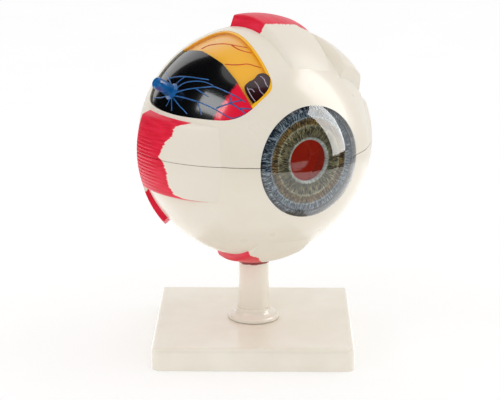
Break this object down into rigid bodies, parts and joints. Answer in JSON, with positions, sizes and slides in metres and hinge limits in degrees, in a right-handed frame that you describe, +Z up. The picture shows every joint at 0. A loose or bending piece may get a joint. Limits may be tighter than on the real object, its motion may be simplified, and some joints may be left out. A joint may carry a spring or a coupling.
{
  "type": "eye anatomy model",
  "caption": "Desk model of a human eye on a swivelling stand; the eye opens along its equator and its shells, lens and vitreous body lift out.",
  "frame": {"origin": "middle of the flat underside of the base", "axes": "+Z up along the post, -Y out of the front edge of the base, +X to the right seen from the front"},
  "size_m": [0.0972, 0.1088, 0.1386],
  "materials": {
    "ivory_plastic": "moulded ivory PVC, soft gloss",
    "muscle_plastic": "ivory PVC painted crimson at the belly, satin",
    "clear_plastic": "clear acrylic, polished",
    "choroid_plastic": "moulded PVC painted dark brown, satin",
    "retina_plastic": "painted orange with red vessels, satin",
    "iris_print": "printed grey-blue iris, satin",
    "ciliary_plastic": "painted brown, satin",
    "nerve_plastic": "ivory sheath with a yellow painted core",
    "yellow_paint": "glossy yellow paint with red vessels",
    "black_paint": "glossy black paint brushed into crimson",
    "maroon_paint": "glossy dark maroon with lilac lines",
    "blue_plastic": "glossy blue",
    "steel": "plain bright steel"
  },
  "bodies": {
    "base": {"base": "ivory_plastic"},
    "post": {"post": "ivory_plastic", "post_washer": "steel", "post_screw": "steel"},
    "sclera_lower": {"sclera_lower": "ivory_plastic", "cornea_lower": "clear_plastic", "lateral_rectus_lower": "muscle_plastic", "medial_rectus_lower": "muscle_plastic", "inferior_rectus": "muscle_plastic", "inferior_oblique": "muscle_plastic", "optic_nerve_lower": "nerve_plastic", "locating_pins": "steel"},
    "choroid_lower": {"choroid_lower": "choroid_plastic", "retina_lower": "retina_plastic", "iris_lower": "iris_print", "ciliary_ring_lower": "ciliary_plastic", "cradle_pins": "steel"},
    "vitreous": {"vitreous_body": "clear_plastic"},
    "lens": {"lens": "clear_plastic"},
    "choroid_upper": {"choroid_upper": "choroid_plastic", "retina_upper": "retina_plastic", "iris_upper": "iris_print", "ciliary_ring_upper": "ciliary_plastic"},
    "sclera_upper": {"sclera_upper": "ivory_plastic", "cornea_upper": "clear_plastic", "lateral_rectus_upper": "muscle_plastic", "medial_rectus_upper": "muscle_plastic", "superior_rectus": "muscle_plastic", "superior_oblique": "ivory_plastic", "optic_nerve_upper": "nerve_plastic", "retina_window": "yellow_paint", "choroid_window": "black_paint", "ciliary_window": "maroon_paint", "vortex_vein": "blue_plastic"}
  },
  "joints": [
    {"name": "post_turn", "type": "hinge", "parent": "base", "child": "post", "pos_m": [0, 0, 0.0094], "axis": [0, 0, 1], "continuous": true},
    {"name": "eye_lift", "type": "slide", "parent": "post", "child": "sclera_lower", "axis": [0, 0, 1], "range_m": [0, 0.03]},
    {"name": "choroid_lift", "type": "slide", "parent": "sclera_lower", "child": "choroid_lower", "axis": [0, 0, 1], "range_m": [0, 0.055]},
    {"name": "vitreous_lift", "type": "slide", "parent": "choroid_lower", "child": "vitreous", "axis": [0, 0, 1], "range_m": [0, 0.05]},
    {"name": "lens_lift", "type": "slide", "parent": "vitreous", "child": "lens", "axis": [0, 0, 1], "range_m": [0, 0.045]},
    {"name": "choroid_cover_lift", "type": "slide", "parent": "lens", "child": "choroid_upper", "axis": [0, 0, 1], "range_m": [0, 0.06]},
    {"name": "sclera_cover_lift", "type": "slide", "parent": "choroid_upper", "child": "sclera_upper", "axis": [0, 0, 1], "range_m": [0, 0.06]}
  ]
}
